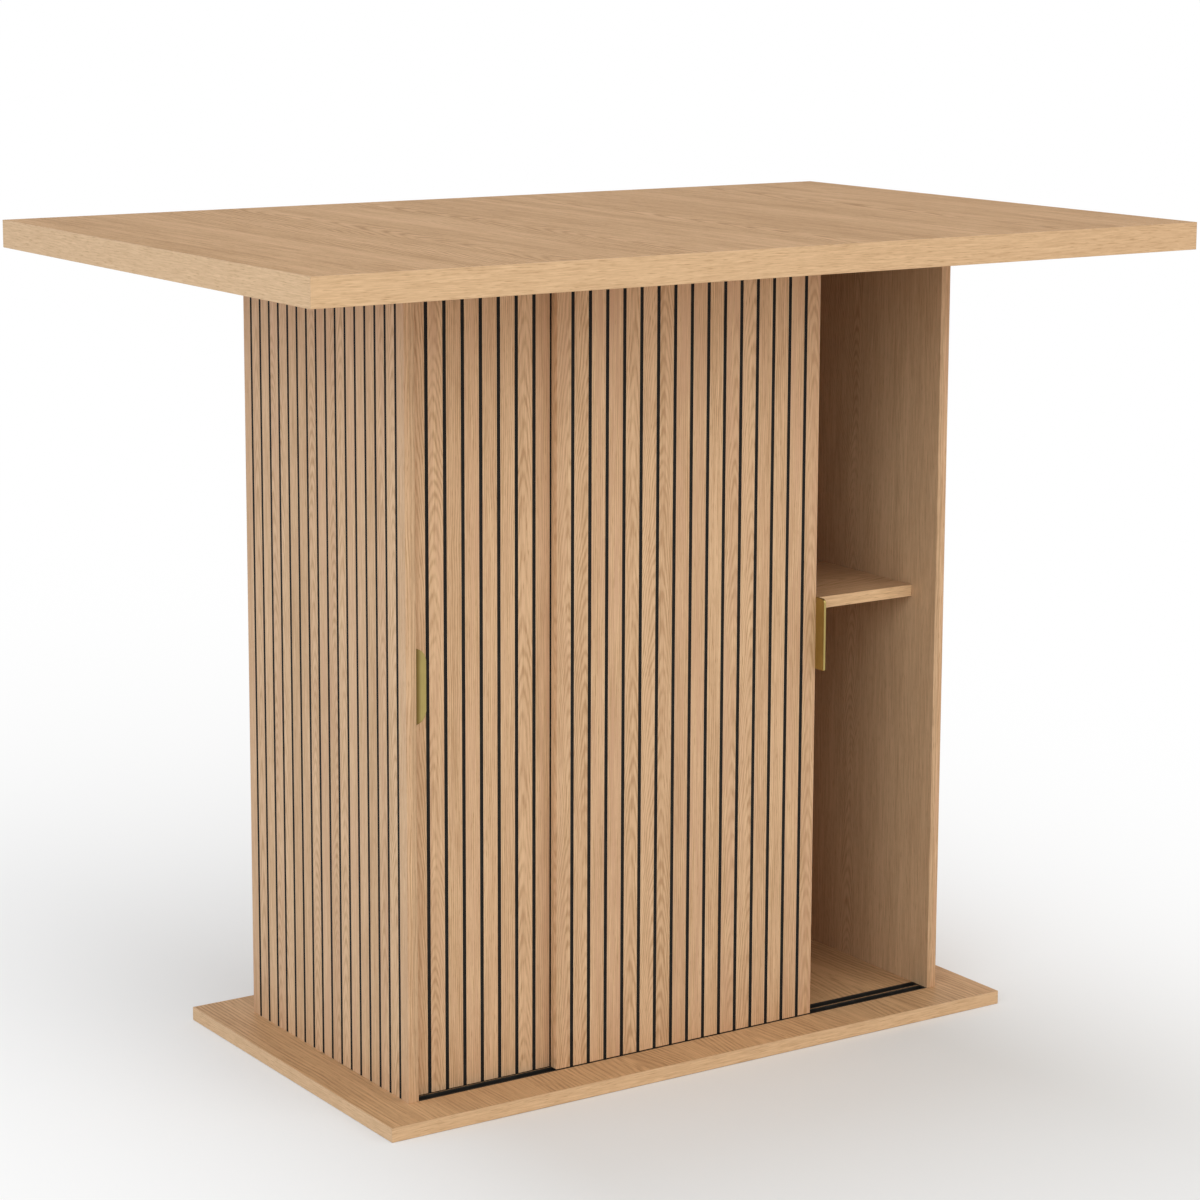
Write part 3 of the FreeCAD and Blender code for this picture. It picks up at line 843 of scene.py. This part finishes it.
KEY_LAMP = Lamp("key_lamp", (2.2, -3.6, 3.5), (0.0, 0.0, 0.45), 3.2, (1.0, 0.925, 0.820))
FILL_LAMP = Lamp("fill_lamp", (-3.6, -3.0, 2.7), (0.0, 0.0, 0.45), 3.2, (0.765, 0.910, 1.0))
SIDE_LAMP = Lamp("side_lamp", (-4.2, 1.6, 1.1), (-0.4, 0.0, 0.7), 2.4, (0.300, 0.580, 1.0))


def make_lamp(lamp, power):
    """Adds a lamp that looks at its aim."""
    data = bpy.data.lights.new(lamp.name, "AREA")
    data.shape = "SQUARE"
    data.size = lamp.width
    data.energy = power
    data.color = lamp.colour
    light = bpy.data.objects.new(lamp.name, data)
    light.location = lamp.place
    way = Vector(lamp.aim) - Vector(lamp.place)
    light.rotation_euler = way.to_track_quat("-Z", "Y").to_euler()
    bpy.context.scene.collection.objects.link(light)


WHITE = (1.0, 1.0, 1.0, 1.0)
SEEN_SKY = 1.0


def make_sky(stage):
    """Even light all round, seen as white."""
    world = bpy.data.worlds.new("white_room")
    world.use_nodes = True
    nodes = TreeNodes(world.node_tree)
    background = world.node_tree.nodes["Background"]
    nodes.feed(background.inputs["Color"], WHITE)
    strength = nodes.spread(nodes.seen_directly(), UNIT, (stage.sky, SEEN_SKY))
    nodes.feed(background.inputs["Strength"], strength)
    bpy.context.scene.world = world


# How far the floor lies under the base plate, in metres
FLOOR_DROP = 0.0005
# How softly the floor starts to fade
SHADE_POWER = 1.3
FLOOR_GRIT = Pattern(across=40.0, along=40.0, detail=3.0)
GRIT_SHOWS = (0.3, 0.7)
GRIT_SHARES = (0.0, 0.02)
GRIT_COLOUR = (0.8, 0.8, 0.8)


def floor_shade(nodes, stage):
    """How much the floor shows: wholly at the island, less and less further out."""
    half_width, half_depth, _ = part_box("base_plate")[1]
    fade_start = half_width - stage.shade_inset
    reach_x = nodes.math("SUBTRACT", nodes.math("ABSOLUTE", nodes.places[0]), fade_start)
    reach_x = nodes.math("MULTIPLY", nodes.math("MAXIMUM", reach_x, 0.0), stage.shade_narrow)
    moved_y = nodes.math("ADD", nodes.places[1], stage.shade_front)
    reach_y = nodes.math("SUBTRACT", nodes.math("ABSOLUTE", moved_y), half_depth)
    reach_y = nodes.math("MAXIMUM", reach_y, 0.0)
    squares = [nodes.math("POWER", reach, 2.0) for reach in (reach_x, reach_y)]
    far = nodes.math("SQRT", nodes.math("ADD", *squares))
    far = nodes.math("POWER", nodes.math("DIVIDE", far, stage.shade_length), SHADE_POWER)
    return nodes.math("EXPONENT", nodes.math("MULTIPLY", far, -1.0))


def floor_finish(name, stage):
    """A pale floor that fades to white where it is seen directly."""
    nodes = FinishNodes(name)
    faded = nodes.math("SUBTRACT", 1.0, floor_shade(nodes, stage))
    grit = nodes.spread(nodes.pattern(FLOOR_GRIT), GRIT_SHOWS, GRIT_SHARES)
    pale = nodes.add("ShaderNodeBsdfDiffuse")
    nodes.feed(pale.inputs["Color"], nodes.blend(grit, tuple(stage.floor_colour), GRIT_COLOUR))
    white = nodes.add("ShaderNodeEmission")
    mix = nodes.add("ShaderNodeMixShader")
    nodes.feed(mix.inputs[0], nodes.math("MULTIPLY", faded, nodes.seen_directly()))
    nodes.feed(mix.inputs[1], pale.outputs[0])
    nodes.feed(mix.inputs[2], white.outputs[0])
    return nodes.show(mix)


def make_floor(stage):
    """A floor that keeps the shadow."""
    half = stage.floor_width / 2
    mesh = bpy.data.meshes.new("floor")
    corners = [(-half, -half, 0.0), (half, -half, 0.0), (half, half, 0.0), (-half, half, 0.0)]
    mesh.from_pydata(corners, [], [(0, 1, 2, 3)])
    mesh.materials.append(floor_finish("floor_pale", stage))
    floor = bpy.data.objects.new("floor", mesh)
    floor.location.z = -FLOOR_DROP
    bpy.context.scene.collection.objects.link(floor)


CLIP_END = 100.0


def make_camera(stage):
    """The camera at the photo's viewing angle."""
    data = bpy.data.cameras.new("photo_camera")
    data.lens = stage.lens
    data.shift_y = stage.shift
    data.clip_end = CLIP_END
    camera = bpy.data.objects.new("photo_camera", data)
    camera.matrix_world = (
        Matrix.Translation(stage.place)
        @ Matrix.Rotation(-stage.turn, 4, "Z")
        @ Matrix.Rotation(pi / 2 - stage.tilt, 4, "X")
        @ Matrix.Rotation(stage.roll, 4, "Z"))
    bpy.context.scene.collection.objects.link(camera)
    bpy.context.scene.camera = camera


class ISLAND_OT_stage(IslandOperator):
    """Floor, light and camera"""
    bl_idname = "island.stage"
    bl_label = "Stage"

    def execute(self, context):
        stage = context.scene.island_stage
        make_sky(stage)
        make_floor(stage)
        make_lamp(KEY_LAMP, stage.key_power)
        make_lamp(FILL_LAMP, stage.fill_power)
        make_lamp(SIDE_LAMP, stage.side_power)
        make_camera(stage)
        context.scene.view_settings.view_transform = "Standard"
        return {"FINISHED"}


OPERATORS = (
    ISLAND_OT_worktop,
    ISLAND_OT_base,
    ISLAND_OT_sides,
    ISLAND_OT_back,
    ISLAND_OT_doors,
    ISLAND_OT_inside,
    ISLAND_OT_tracks,
    ISLAND_OT_handles,
    ISLAND_OT_fasteners,
    ISLAND_OT_stage,
)
GROUPS = {
    "island_colours": IslandColours,
    "island_slats": IslandSlats,
    "island_stage": IslandStage,
}


class ISLAND_PT_panel(bpy.types.Panel):
    """The island's operators and settings"""
    bl_idname = "ISLAND_PT_panel"
    bl_label = "Kitchen island"
    bl_space_type = "VIEW_3D"
    bl_region_type = "UI"
    bl_category = "Island"

    def draw(self, context):
        column = self.layout.column()
        for operator in OPERATORS:
            column.operator(operator.bl_idname)
        for group_name in GROUPS:
            group = getattr(context.scene, group_name)
            for name in group.bl_rna.properties.keys():
                if name not in ("rna_type", "name"):
                    column.prop(group, name)


def register():
    for group in GROUPS.values():
        bpy.utils.register_class(group)
    for name, group in GROUPS.items():
        setattr(bpy.types.Scene, name, PointerProperty(type=group))
    for operator in OPERATORS:
        bpy.utils.register_class(operator)
    bpy.utils.register_class(ISLAND_PT_panel)


def unregister():
    bpy.utils.unregister_class(ISLAND_PT_panel)
    for operator in reversed(OPERATORS):
        bpy.utils.unregister_class(operator)
    for name in GROUPS:
        delattr(bpy.types.Scene, name)
    for group in reversed(list(GROUPS.values())):
        bpy.utils.unregister_class(group)


def main():
    register()
    bpy.ops.island.worktop()
    bpy.ops.island.base()
    bpy.ops.island.sides()
    bpy.ops.island.back()
    bpy.ops.island.doors()
    bpy.ops.island.inside()
    bpy.ops.island.tracks()
    bpy.ops.island.handles()
    bpy.ops.island.fasteners()
    bpy.ops.island.stage()


if __name__ == "__main__":
    main()
